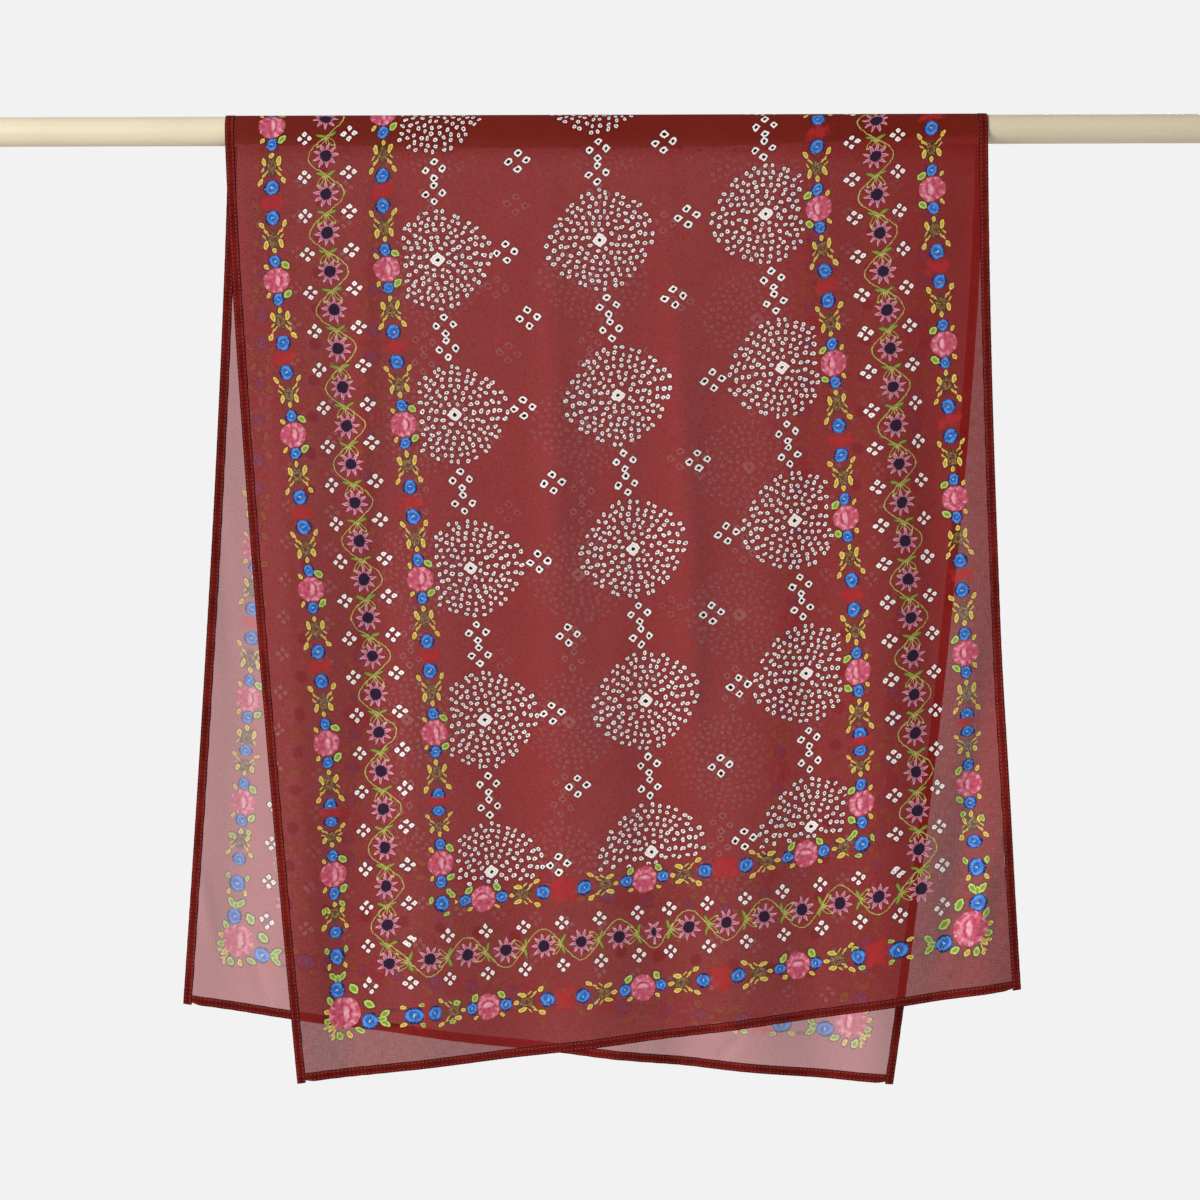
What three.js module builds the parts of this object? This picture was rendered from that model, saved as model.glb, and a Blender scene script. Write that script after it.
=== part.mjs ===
// A sheer printed hijab scarf hung over a plain wooden rod, in millimetres with +Z up.
// The rod's axis runs along X through the origin. The front fall faces -Y and the back fall +Y.
// One rectangle of cloth with a folded hem all round crosses the rod at a slight skew, so the front
// fall is longer at its left edge and the back fall is longer at its right edge.
import * as THREE from "three";

const ROD = { diameter: 28, length: 1220, sides: 48 };
const CUT_WIDTH = 725; // across the scarf, hem to hem
const CLOTH_WALL = 1.2;
const HEM = { width: 8.5, wall: 2.2 };
const GAP = 0.3; // between pieces at each seam, and between the cloth and the rod

const INNER_RADIUS = ROD.diameter / 2 + GAP; // from the rod's axis to the scarf's wrong side
const ON_ROD = { left: -358, right: 373 }; // X where the scarf's side edges cross the rod

const COLUMNS = 34; // facets across a fall
const ROWS = 18; // facets down a fall
const ROD_STEPS = 12; // facets of the half turn over the rod
const FOLD_END_SHARE = 0.35; // share of a fold's length over which each end fades out

// Soft folds, each a ridge (depth above 0, away from the other fall) or a trough (below 0).
// A fold runs from its top to its foot, and one whose foot lies under the hem runs out through it.
const FRONT_FOLDS = [
  { topX: -300, topZ: -60, footX: -258, footZ: -1180, width: 32, depth: 6 },
  { topX: -232, topZ: -180, footX: -205, footZ: -1150, width: 27, depth: -5 },
  { topX: -165, topZ: -260, footX: -150, footZ: -1160, width: 30, depth: 5.5 },
  { topX: -125, topZ: -40, footX: -112, footZ: -700, width: 24, depth: -2.2 },
  { topX: -53, topZ: -12, footX: -56, footZ: -660, width: 27, depth: 3.4 },
  { topX: -92, topZ: -420, footX: -84, footZ: -1180, width: 30, depth: -6 },
  { topX: -6, topZ: -20, footX: 8, footZ: -620, width: 15, depth: -2.4 },
  { topX: 22, topZ: -25, footX: 27, footZ: -500, width: 12, depth: 1.6 },
  { topX: -14, topZ: -380, footX: -16, footZ: -1150, width: 30, depth: 6 },
  { topX: 46, topZ: -30, footX: 50, footZ: -560, width: 13, depth: -1.8 },
  { topX: 82, topZ: -12, footX: 86, footZ: -700, width: 15, depth: 3.2 },
  { topX: 52, topZ: -450, footX: 60, footZ: -1140, width: 27, depth: -6 },
  { topX: 128, topZ: -25, footX: 134, footZ: -640, width: 22, depth: -3 },
  { topX: 128, topZ: -480, footX: 132, footZ: -1120, width: 32, depth: 6.5 },
  { topX: 205, topZ: -90, footX: 204, footZ: -1100, width: 30, depth: -5.5 },
  { topX: 262, topZ: -70, footX: 270, footZ: -1080, width: 26, depth: 4.5 },
  { topX: 318, topZ: -140, footX: 326, footZ: -760, width: 20, depth: -3 },
  { topX: 394, topZ: -400, footX: 312, footZ: -905, width: 15, depth: -6.5 },
  { topX: 415, topZ: -460, footX: 352, footZ: -960, width: 20, depth: 7 },
  { topX: -296, topZ: -866, footX: -238, footZ: -902, width: 7, depth: 2.2 },
];

const BACK_FOLDS = [
  { topX: -330, topZ: -50, footX: -362, footZ: -1040, width: 28, depth: 5 },
  { topX: -268, topZ: -120, footX: -290, footZ: -1080, width: 30, depth: -5.5 },
  { topX: -205, topZ: -30, footX: -215, footZ: -720, width: 22, depth: 2.8 },
  { topX: -190, topZ: -330, footX: -222, footZ: -1100, width: 27, depth: 5.5 },
  { topX: -128, topZ: -70, footX: -140, footZ: -1120, width: 33, depth: -5.5 },
  { topX: -66, topZ: -20, footX: -66, footZ: -560, width: 16, depth: 2.6 },
  { topX: -52, topZ: -300, footX: -64, footZ: -1140, width: 28, depth: 6 },
  { topX: 4, topZ: -60, footX: 2, footZ: -700, width: 20, depth: -2.4 },
  { topX: 20, topZ: -420, footX: 8, footZ: -1160, width: 30, depth: -6 },
  { topX: 74, topZ: -20, footX: 70, footZ: -640, width: 18, depth: 3 },
  { topX: 92, topZ: -380, footX: 76, footZ: -1150, width: 27, depth: 5.5 },
  { topX: 158, topZ: -90, footX: 140, footZ: -1170, width: 34, depth: -6 },
  { topX: 236, topZ: -40, footX: 205, footZ: -1180, width: 28, depth: 5 },
  { topX: 302, topZ: -150, footX: 250, footZ: -1160, width: 24, depth: -4.5 },
  { topX: 352, topZ: -60, footX: 276, footZ: -1120, width: 20, depth: 4 },
];

// facing is the side of the rod, on Y. An edge's foot is its lower corner, and its ease says how it
// leans: at 1 it is straight, and above 1 it starts upright. hemBow is how far the bottom edge's
// middle hangs below a straight line between its corners.
const FRONT = {
  name: "front",
  facing: -1,
  left: { footX: -289, footZ: -915, ease: 1.1 },
  right: { footX: 402, footZ: -825, ease: 1.8 },
  hemBow: 4,
  folds: FRONT_FOLDS,
};
const BACK = {
  name: "back",
  facing: 1,
  left: { footX: -401, footZ: -839, ease: 1.5 },
  right: { footX: 282, footZ: -918, ease: 1.5 },
  hemBow: 7,
  folds: BACK_FOLDS,
};

const CLOTH_MATERIAL = new THREE.MeshStandardMaterial({
  color: 0x8c3a3c,
  roughness: 0.85,
  metalness: 0,
});
const HEM_MATERIAL = new THREE.MeshStandardMaterial({
  color: 0x5f1410,
  roughness: 0.9,
  metalness: 0,
});
const ROD_MATERIAL = new THREE.MeshStandardMaterial({
  color: 0xf0e2c5,
  roughness: 0.55,
  metalness: 0,
});

const { lerp, smoothstep } = THREE.MathUtils;

// How far the cloth stands out of its flat fall at a place on it.
function foldDepth(folds, x, z) {
  let total = 0;
  for (const { topX, topZ, footX, footZ, width, depth } of folds) {
    const runX = footX - topX;
    const runZ = footZ - topZ;
    const length = Math.hypot(runX, runZ);
    const along = ((x - topX) * runX + (z - topZ) * runZ) / length ** 2;
    const aside = ((x - topX) * runZ - (z - topZ) * runX) / length;
    const taper =
      smoothstep(along, 0, FOLD_END_SHARE) *
      smoothstep(1 - along, 0, FOLD_END_SHARE);
    total += depth * taper * Math.exp(-((aside / width) ** 2));
  }
  return total;
}

// Z of a fall's bottom edge, at a share of its width.
function bottomZ(fall, share) {
  return (
    lerp(fall.left.footZ, fall.right.footZ, share) -
    fall.hemBow * 4 * share * (1 - share)
  );
}

// A point of a fall. across is in millimetres from the left edge, down runs from 0 just under the
// rod's level to 1 at the bottom edge, and lift moves the point out from the wrong side.
function fallPoint(fall, across, down, lift) {
  const share = across / CUT_WIDTH;
  const leftX = lerp(ON_ROD.left, fall.left.footX, down ** fall.left.ease);
  const rightX = lerp(ON_ROD.right, fall.right.footX, down ** fall.right.ease);
  const x = lerp(leftX, rightX, share);
  const z = lerp(-GAP, bottomZ(fall, share), down);
  const y = fall.facing * (INNER_RADIUS + foldDepth(fall.folds, x, z) + lift);
  return new THREE.Vector3(x, y, z);
}

// A point of the stretch that lies on the rod. turn runs from 0 at the front to 1 at the back.
function rodPoint(across, turn, lift) {
  const angle = Math.PI * (1 - turn);
  const radius = INNER_RADIUS + lift;
  const x = lerp(ON_ROD.left, ON_ROD.right, across / CUT_WIDTH);
  return new THREE.Vector3(x, radius * Math.cos(angle), radius * Math.sin(angle));
}

// A closed wall over a grid: point(column, row, lift) gives its two skins, at lift 0 and at wall.
// Columns run towards +X and rows from the front hem over the rod to the back hem.
function wallGeometry(columns, rows, wall, point) {
  const across = columns + 1;
  const layer = across * (rows + 1);
  const positions = [];
  for (const lift of [0, wall])
    for (let row = 0; row <= rows; row++)
      for (let column = 0; column <= columns; column++)
        positions.push(...point(column, row, lift).toArray());

  const faces = [];
  const quad = (a, b, c, d) => faces.push(a, b, c, a, c, d);
  const inner = (column, row) => row * across + column;
  const outer = (column, row) => layer + inner(column, row);
  for (let row = 0; row < rows; row++)
    for (let column = 0; column < columns; column++) {
      const corners = [
        [column, row],
        [column + 1, row],
        [column + 1, row + 1],
        [column, row + 1],
      ];
      quad(...corners.map((corner) => outer(...corner)));
      quad(...corners.reverse().map((corner) => inner(...corner)));
    }
  for (let column = 0; column < columns; column++) {
    quad(inner(column, 0), inner(column + 1, 0), outer(column + 1, 0), outer(column, 0));
    quad(outer(column, rows), outer(column + 1, rows), inner(column + 1, rows), inner(column, rows));
  }
  for (let row = 0; row < rows; row++) {
    quad(outer(0, row), outer(0, row + 1), inner(0, row + 1), inner(0, row));
    quad(
      inner(columns, row),
      inner(columns, row + 1),
      outer(columns, row + 1),
      outer(columns, row),
    );
  }

  const geometry = new THREE.BufferGeometry();
  geometry.setAttribute("position", new THREE.Float32BufferAttribute(positions, 3));
  geometry.setIndex(faces);
  geometry.computeVertexNormals();
  return geometry;
}

// Evenly spaced values from first to last.
function steps(first, last, count) {
  return Array.from({ length: count + 1 }, (_, i) => lerp(first, last, i / count));
}

function namedMesh(name, geometry, material) {
  const mesh = new THREE.Mesh(geometry, material);
  mesh.name = name;
  return mesh;
}

const PANEL_ACROSS = steps(HEM.width + GAP, CUT_WIDTH - HEM.width - GAP, COLUMNS);
const SIDE_HEMS = {
  left: [0, HEM.width],
  right: [CUT_WIDTH - HEM.width, CUT_WIDTH],
};

// The share of a fall's height at which a distance above its bottom edge lies.
function downAbove(fall, across, rise) {
  return 1 + rise / (bottomZ(fall, across / CUT_WIDTH) + GAP);
}

// The panel's rows end just above the bottom hem. The side hems have the same rows and one more
// that takes them down to the corner, beside the bottom hem's end.
function panelDown(fall, across, row) {
  return (row / ROWS) * downAbove(fall, across, HEM.width + GAP);
}
function sideHemDown(fall, across, row) {
  return row > ROWS ? 1 : panelDown(fall, across, row);
}
function bottomHemDown(fall, across, row) {
  return downAbove(fall, across, HEM.width * (1 - row));
}

// A fall's piece. Rows count down the fall, and the front's are taken upwards from its hem so that
// every piece runs the same way round the rod.
function fallMesh(name, fall, acrossList, rows, downAt, wall, material) {
  const geometry = wallGeometry(acrossList.length - 1, rows, wall, (column, row, lift) => {
    const across = acrossList[column];
    const down = downAt(fall, across, fall.facing < 0 ? rows - row : row);
    return fallPoint(fall, across, down, lift);
  });
  return namedMesh(name, geometry, material);
}

function rodStretchMesh(name, acrossList, wall, material) {
  const geometry = wallGeometry(1, ROD_STEPS, wall, (column, row, lift) =>
    rodPoint(acrossList[column], row / ROD_STEPS, lift),
  );
  return namedMesh(name, geometry, material);
}

function rodMesh() {
  const radius = ROD.diameter / 2;
  const geometry = new THREE.CylinderGeometry(radius, radius, ROD.length, ROD.sides);
  const mesh = namedMesh("rod", geometry, ROD_MATERIAL);
  mesh.rotation.z = Math.PI / 2;
  return mesh;
}

const scarfOnRod = new THREE.Group();
scarfOnRod.add(rodMesh());

for (const fall of [FRONT, BACK]) {
  scarfOnRod.add(
    fallMesh("cloth_" + fall.name, fall, PANEL_ACROSS, ROWS, panelDown, CLOTH_WALL, CLOTH_MATERIAL),
    fallMesh(
      "hem_" + fall.name + "_bottom",
      fall,
      PANEL_ACROSS,
      1,
      bottomHemDown,
      HEM.wall,
      HEM_MATERIAL,
    ),
  );
  for (const [side, acrossList] of Object.entries(SIDE_HEMS))
    scarfOnRod.add(
      fallMesh(
        "hem_" + fall.name + "_" + side,
        fall,
        acrossList,
        ROWS + 1,
        sideHemDown,
        HEM.wall,
        HEM_MATERIAL,
      ),
    );
}

const panelEnds = [PANEL_ACROSS[0], PANEL_ACROSS[COLUMNS]];
scarfOnRod.add(rodStretchMesh("cloth_over_rod", panelEnds, CLOTH_WALL, CLOTH_MATERIAL));
for (const [side, acrossList] of Object.entries(SIDE_HEMS))
  scarfOnRod.add(rodStretchMesh("hem_over_rod_" + side, acrossList, HEM.wall, HEM_MATERIAL));

export default scarfOnRod;
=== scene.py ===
"""A sheer printed hijab scarf hung over a painted wooden rod.

The scarf is one rectangle of voile with a stitched hem all round. It crosses the rod at a slight skew, so its
front fall is longer at the left edge and its back fall at the right edge. Sizes in the cloth's own plan are in
millimetres, as the cut is marked out, and they become metres where the meshes are made. A place on the cut is
its distance across from the left edge and its rise above the hem of its fall.
"""

import math
from collections import namedtuple
from functools import cache, reduce

import bpy
import numpy as np
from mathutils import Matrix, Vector


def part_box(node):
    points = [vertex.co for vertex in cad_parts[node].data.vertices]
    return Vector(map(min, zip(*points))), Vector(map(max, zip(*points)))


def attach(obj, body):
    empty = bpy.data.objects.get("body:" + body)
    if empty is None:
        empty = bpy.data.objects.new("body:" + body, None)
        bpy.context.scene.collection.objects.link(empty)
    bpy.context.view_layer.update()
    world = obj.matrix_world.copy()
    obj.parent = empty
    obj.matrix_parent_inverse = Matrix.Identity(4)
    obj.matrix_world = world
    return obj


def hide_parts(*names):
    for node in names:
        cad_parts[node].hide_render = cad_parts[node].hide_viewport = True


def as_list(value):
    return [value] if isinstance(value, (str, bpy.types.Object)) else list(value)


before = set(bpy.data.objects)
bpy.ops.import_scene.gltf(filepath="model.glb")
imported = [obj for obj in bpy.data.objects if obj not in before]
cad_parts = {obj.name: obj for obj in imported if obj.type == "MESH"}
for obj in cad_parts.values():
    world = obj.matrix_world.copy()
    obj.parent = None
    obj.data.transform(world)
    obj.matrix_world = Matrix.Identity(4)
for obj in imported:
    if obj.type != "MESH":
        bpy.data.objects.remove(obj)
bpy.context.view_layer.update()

MM = 0.001
ROD_LOW, ROD_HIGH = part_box("rod")
ROD_RADIUS = (ROD_HIGH.z - ROD_LOW.z) / 2
ROD_LENGTH = ROD_HIGH.x - ROD_LOW.x

# The cut and how it hangs, as the solids have it.
CUT_WIDTH = 725
HEM_WIDTH = 8.5
GAP = 0.3
INNER_RADIUS = ROD_RADIUS / MM + GAP
ON_ROD_LEFT = -358
ON_ROD_RIGHT = 373
FOLD_END_SHARE = 0.35

# The shell, whose two skins are the printed side and the paler wrong side.
CLOTH_THICKNESS = 0.25
CLOTH_LIFT = 0.6
TUCKED_IN = 7  # the panel's edge lies this far from the scarf's edge, inside the hem
MESH_STEP = 4.4
CLOTH_CREASE_ANGLE = 60
PUCKER = 0.34
PUCKER_FADES = 11
END_PUCKER = 0.36
END_PUCKER_FADES = 12

Fold = namedtuple("Fold", "top_x top_z foot_x foot_z width depth")
Edge = namedtuple("Edge", "foot_x foot_z ease")


def folds(*rows):
    return [Fold(*row) for row in rows]


# Folds shared with the solids, then the creases that only the cloth has. A depth above 0 stands away from the
# other fall, and one below 0 leans towards it.
FRONT_FOLDS = folds(
    (-292, -60, -288, -1180, 30, 4.2), (-195, -180, -270, -1150, 25, -3.2), (-165, -260, -168, -1160, 30, 3.6),
    (-92, -420, -84, -1180, 30, -3.4), (-14, -380, -8, -1150, 30, 3.4), (52, -450, 60, -1140, 27, -3.2),
    (128, -480, 132, -1120, 32, 4), (205, -90, 204, -1100, 30, -4), (268, -70, 276, -1080, 26, 4.2),
    (318, -140, 326, -760, 20, -3), (394, -400, 312, -905, 15, -6), (415, -460, 352, -960, 20, 6),
)
FRONT_CREASES = folds(
    (-228, 10, -222, -480, 12, 2), (-246, -20, -240, -420, 15, -1.6), (-186, -380, -178, -760, 11, 1.6),
    (-216, -300, -206, -700, 13, -1.6), (-120, 0, -106, -640, 26, -1.8), (-50, 20, -36, -520, 11, 1.5),
    (-44, -120, -36, -900, 25, 3.4), (-4, -60, 2, -700, 17, -1.4), (40, 0, 44, -740, 22, -2.4),
    (62, 30, 84, -420, 9, 1.3), (78, -80, 90, -720, 17, 3.4), (88, -300, 94, -660, 7, 0.9),
    (134, -20, 138, -700, 28, -2.2), (214, -440, 222, -960, 11, 1.6), (246, 0, 252, -560, 10, -1),
    (-20, -560, -28, -960, 9, -0.8), (377, -676, 355, -806, 8, 3.6), (367, -740, 316, -836, 7, 3.2),
    (386, -690, 372, -815, 9, -2.5), (-340, -30, -330, -210, 9, 1.2), (352, -20, 350, -160, 8, -1.1),
    (-192, -6, -186, -120, 10, -1), (176, -6, 180, -150, 9, 1.1), (-300, -868, -240, -905, 4, 2),
    (-288, -852, -236, -872, 4, 1.3), (-246, -790, -232, -925, 9, -1.2), (118, -800, 126, -900, 10, 1.2),
)
BACK_FOLDS = folds(
    (-330, -50, -362, -1040, 28, 5), (-268, -120, -290, -1080, 30, -5.5), (-205, -30, -215, -720, 22, 2.8),
    (-190, -330, -222, -1100, 27, 5.5), (-128, -70, -140, -1120, 33, -5.5), (-66, -20, -66, -560, 16, 2.6),
    (-52, -300, -64, -1140, 28, 6), (4, -60, 2, -700, 20, -2.4), (20, -420, 8, -1160, 30, -6),
    (74, -20, 70, -640, 18, 3), (92, -380, 76, -1150, 27, 5.5), (158, -90, 140, -1170, 34, -6),
    (236, -40, 205, -1180, 28, 5), (302, -150, 250, -1160, 24, -4.5), (352, -60, 276, -1120, 20, 4),
)
BACK_CREASES = folds(
    (142, -866, 106, -902, 4.5, 2.6), (-392, -690, -372, -800, 6, -1.6), (-372, -300, -356, -560, 9, 1.2),
    (-346, -770, -318, -850, 6, 1.6), (330, -20, 322, -170, 8, -1.2), (40, -780, 52, -905, 9, -1.4),
)


def blend(first, last, share):
    return first + (last - first) * share


def eased(share):
    """0 to 1 with a soft start and end."""
    share = np.clip(share, 0, 1)
    return share * share * (3 - 2 * share)


def hump(value, middle, width):
    """1 at the middle, and about a third at a width to either side."""
    return np.exp(-(((value - middle) / width) ** 2))


def fold_depth(folds, x, z):
    """How far the folds move a place of a fall out of its flat plane."""
    total = np.zeros_like(x)
    for fold in folds:
        run_x = fold.foot_x - fold.top_x
        run_z = fold.foot_z - fold.top_z
        length = math.hypot(run_x, run_z)
        along = ((x - fold.top_x) * run_x + (z - fold.top_z) * run_z) / length**2
        aside = ((x - fold.top_x) * run_z - (z - fold.top_z) * run_x) / length
        taper = eased(along / FOLD_END_SHARE) * eased((1 - along) / FOLD_END_SHARE)
        total += fold.depth * taper * hump(aside, 0, fold.width)
    return total


def ripple(along):
    """An uneven ripple from -1 to 1, as stitching draws up along a hem."""
    uneven = 2.2 * np.sin(along / 37) + 1.3 * np.sin(along / 11)
    strength = 0.55 + 0.45 * np.sin(along / 53 + 1)
    return strength * np.sin(along / 2.3 + uneven)


def pucker(across, rise, start):
    """How the hem's stitching ripples the cloth, fading inwards from the hem."""
    left = PUCKER * ripple(rise + start) * np.exp(-across / PUCKER_FADES)
    right = PUCKER * ripple(rise + 3 * start + 70) * np.exp(-(CUT_WIDTH - across) / PUCKER_FADES)
    return left + right + END_PUCKER * ripple(across + start) * np.exp(-rise / END_PUCKER_FADES)


class Fall(namedtuple("Fall", "facing left right hem_bow folds")):
    """The stretch of scarf that hangs on one side of the rod."""

    def length(self, across):
        """From the bottom edge up to the rod, at a distance across the cut."""
        share = across / CUT_WIDTH
        return np.hypot(
            blend(self.left.foot_x - ON_ROD_LEFT, self.right.foot_x - ON_ROD_RIGHT, share),
            self.bottom(share),
        )

    def bottom(self, share):
        straight = blend(self.left.foot_z, self.right.foot_z, share)
        return straight - self.hem_bow * 4 * share * (1 - share)

    def place(self, across, rise, lift=CLOTH_LIFT):
        """Places in metres, at these distances across the cut, above its bottom edge and out of its inner face."""
        share = across / CUT_WIDTH
        down = 1 - rise / self.length(across)
        sunk = np.maximum(down, 0)
        left_x = blend(ON_ROD_LEFT, self.left.foot_x, sunk**self.left.ease)
        right_x = blend(ON_ROD_RIGHT, self.right.foot_x, sunk**self.right.ease)
        x = blend(left_x, right_x, share)
        z = blend(-GAP, self.bottom(share), down)
        depth = fold_depth(self.folds, x, z)
        depth += pucker(across, rise, 40 * self.facing + 40) * eased(down * 12)
        y = self.facing * (INNER_RADIUS + depth + lift)
        return np.stack([x, y, z], -1) * MM


FRONT = Fall(-1, Edge(-291, -913, 1.26), Edge(402, -825, 1.8), 4, FRONT_FOLDS + FRONT_CREASES)
BACK = Fall(1, Edge(-404, -840, 1.3), Edge(282, -920, 1.5), 7, BACK_FOLDS + BACK_CREASES)
ROD_ARC = math.pi * (INNER_RADIUS + CLOTH_LIFT)


def rod_place(across, turn, lift=CLOTH_LIFT):
    """Places in metres on the stretch over the rod, whose turn runs from 0 at the front to 1 at the back."""
    angle = math.pi * (1 - turn)
    radius = INNER_RADIUS + lift
    x = blend(ON_ROD_LEFT, ON_ROD_RIGHT, across / CUT_WIDTH)
    return np.stack([x, radius * np.cos(angle), radius * np.sin(angle)], -1) * MM


# Meshes

def evenly(stops, step):
    """Values that hit every stop and lie about a step apart in between."""
    values = [stops[0]]
    for low, high in zip(stops, stops[1:]):
        count = max(1, round((high - low) / step))
        values += [blend(low, high, i / count) for i in range(1, count + 1)]
    return np.array(values, float)


def added(name, primitive, **how):
    """A new primitive, and nothing else selected."""
    bpy.ops.object.select_all(action="DESELECT")
    primitive(**how)
    piece = bpy.context.object
    piece.name = piece.data.name = name
    return piece


def apply_modifiers(piece):
    for name in [m.name for m in piece.modifiers]:
        bpy.ops.object.modifier_apply(modifier=name)


def write_map(piece, name, places):
    """A UV map that gives each face corner its vertex's place."""
    layer = piece.data.uv_layers.new(name=name)
    vertex = np.empty(len(piece.data.loops), np.int32)
    piece.data.loops.foreach_get("vertex_index", vertex)
    layer.data.foreach_set("uv", places[vertex].astype(np.float32).ravel())


def sheet_grid(name, places, plan):
    """A grid of faces with its vertices at these places, row by row, and a map of where they lie on the cut."""
    rows, columns = places.shape[:2]
    cells = {"x_subdivisions": columns - 1, "y_subdivisions": rows - 1}
    piece = added(name, bpy.ops.mesh.primitive_grid_add, **cells, size=1, calc_uvs=False)
    piece.data.vertices.foreach_set("co", places.astype(np.float32).ravel())
    piece.data.update()
    write_map(piece, CUT_MAP, plan.reshape(-1, 2) * MM)
    return piece


# The print's plan, in millimetres from the scarf's edges. It is a frame of bands round a field, the same on
# both halves of the cloth, and it has run a little out of line with the side edges.
CUT_MAP = "cut"
HALF_WIDTH = CUT_WIDTH / 2
HALF_LENGTH = 917
PRINT_PAST = 13  # the front half's print runs on this far before the back half's begins
BOTTOM_EXTRA = 6  # the frame lies this much farther from the end hems than from the side hems
SIDE_EXTRA = 3  # the inner garlands at the sides lie this much farther in than the one along the bottom
SIDE_EXTRA_FROM, SIDE_EXTRA_TO = 108, 128
OUTER_LINE = 46  # middle of the outer garland
STAR_LINE = 98
INNER_LINE = 150
GARLAND_START = 32.5
GARLAND_END = 68
INNER_START = 128
FIELD_START = 163.5
CORNER_END_SIDE = 120
CORNER_END_BOTTOM = 128
DRIFT_FROM = 8  # the drift starts this far in from a side edge, so that the edges stay straight
DRIFT_FULL = 22
ROD_LINE_SLOPE = float(FRONT.length(0) - FRONT.length(CUT_WIDTH)) / CUT_WIDTH
ROD_LINE_MIDDLE = float(FRONT.length(0)) + ROD_ARC / 2

REGIONS = ["margin", "garland", "corner", "stars", "field"]
MARGIN, GARLAND, CORNER, STARS, FIELD = range(5)


def drifted(fall, p, rise):
    """Where the print's place p lies across the cut, at a height above a fall's hem."""
    edge = np.minimum(p, CUT_WIDTH - p)
    share = eased((edge - DRIFT_FROM) / (DRIFT_FULL - DRIFT_FROM))
    if fall is BACK:
        return p - share * 8 * hump(rise, 700, 300)
    low = 10 * hump(rise, 340, 205)
    high = 6.5 * hump(rise, 810, 135)
    middle = 6 * hump(rise, 800, 110) * hump(p, 440, 230)
    left = 3 * (1 - p / CUT_WIDTH) * (1 - hump(rise, 0, 150))
    corner = 9 * hump(rise, 115, 60) * hump(p, CUT_WIDTH, 85)
    return p + share * (low - high - middle + left + corner)


def slipped(fall, p, distance):
    """How far a half's print has slipped down towards its hem, at a distance from there."""
    from_hem = eased((distance - TUCKED_IN) / 25)
    if fall is BACK:
        return from_hem * (12.5 * p / CUT_WIDTH - 7.5)
    middle = 6 * hump(p, 300, 150) * hump(distance, 500, 300)
    right = 7.5 * eased((p - 430) / 260) * (1 - 0.9 * hump(distance, 0, 90))
    return from_hem * (1 - eased((distance - 790) / 120)) * (middle - right)


def region_of(p, v):
    across = np.minimum(p, CUT_WIDTH - p)
    farther_in = (across - SIDE_EXTRA_FROM) / (SIDE_EXTRA_TO - SIDE_EXTRA_FROM)
    across = across - SIDE_EXTRA * np.clip(farther_in, 0, 1)
    up = np.minimum(v, 2 * HALF_LENGTH - v) - BOTTOM_EXTRA
    deep = np.minimum(across, up)
    along = np.maximum(across, up)
    corner_end = np.where(across < up, CORNER_END_SIDE, CORNER_END_BOTTOM)
    return np.select(
        [
            (deep < GARLAND_END) & (along < corner_end),
            deep < GARLAND_START,
            deep < GARLAND_END,
            deep < INNER_START,
            deep < FIELD_START,
        ],
        [CORNER, MARGIN, GARLAND, STARS, GARLAND],
        FIELD,
    )


BAND_LINES = [GARLAND_START, GARLAND_END, CORNER_END_SIDE, INNER_START, FIELD_START]
COLUMN_LINES = [line + SIDE_EXTRA * (line >= SIDE_EXTRA_TO) for line in BAND_LINES]
PRINT_COLUMNS = evenly(
    [TUCKED_IN, *COLUMN_LINES, HALF_WIDTH]
    + [CUT_WIDTH - line for line in reversed(COLUMN_LINES)]
    + [CUT_WIDTH - TUCKED_IN],
    MESH_STEP,
)
UPPER_ROWS = 152
ROD_ROWS = 15


def plan_place(p, distance):
    """The print's place for a distance along the cloth from the front hem. The back half is a mirror of the
    front one, drawn out towards the rod to the length that is left."""
    whole = FRONT.length(p) + ROD_ARC + BACK.length(p)
    half = whole - HALF_LENGTH
    up = whole - distance
    drawn = HALF_LENGTH - half - slipped(BACK, p, half)
    back = up + slipped(BACK, p, up) + drawn * (up / half) ** 3
    return np.where(distance < HALF_LENGTH, distance + slipped(FRONT, p, distance), 2 * HALF_LENGTH - back)


def fall_rows(fall):
    """Each row's height above the hem, a column for each of the print's: the bands' lines first, then rows that
    spread out up to the rod."""
    full = fall.length(PRINT_COLUMNS)
    lines = evenly([TUCKED_IN] + [line + BOTTOM_EXTRA for line in BAND_LINES], MESH_STEP)[:, None]
    low = lines
    for _ in range(3):
        low = lines - slipped(fall, PRINT_COLUMNS, low)
    shares = np.linspace(0, 1, UPPER_ROWS + 1)[1:, None]
    return np.concatenate([low, blend(low[-1], full, shares)])


def fall_sheet(name, fall):
    rise = fall_rows(fall)
    p = np.broadcast_to(PRINT_COLUMNS, rise.shape)
    full = fall.length(p)
    if fall is FRONT:
        distance = rise
    else:
        rise, p, full = rise[::-1], p[::-1], full[::-1]
        distance = FRONT.length(p) + ROD_ARC + full - rise
    across = drifted(fall, p, rise)
    reach = rise * fall.length(across) / full
    places = fall.place(across, reach)
    return finished_sheet(name, places, np.stack([p, plan_place(p, distance)], -1))


def over_rod_sheet(name):
    meets = GAP / ROD_ARC  # it runs on over the gap at each end, up to the falls
    turn, p = np.meshgrid(np.linspace(-meets, 1 + meets, ROD_ROWS), PRINT_COLUMNS, indexing="ij")
    distance = FRONT.length(p) + ROD_ARC * turn
    ends = [drifted(fall, p, fall.length(p)) for fall in (FRONT, BACK)]
    places = rod_place(blend(*ends, eased(turn)), turn)
    return finished_sheet(name, places, np.stack([p, plan_place(p, distance)], -1))


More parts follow.
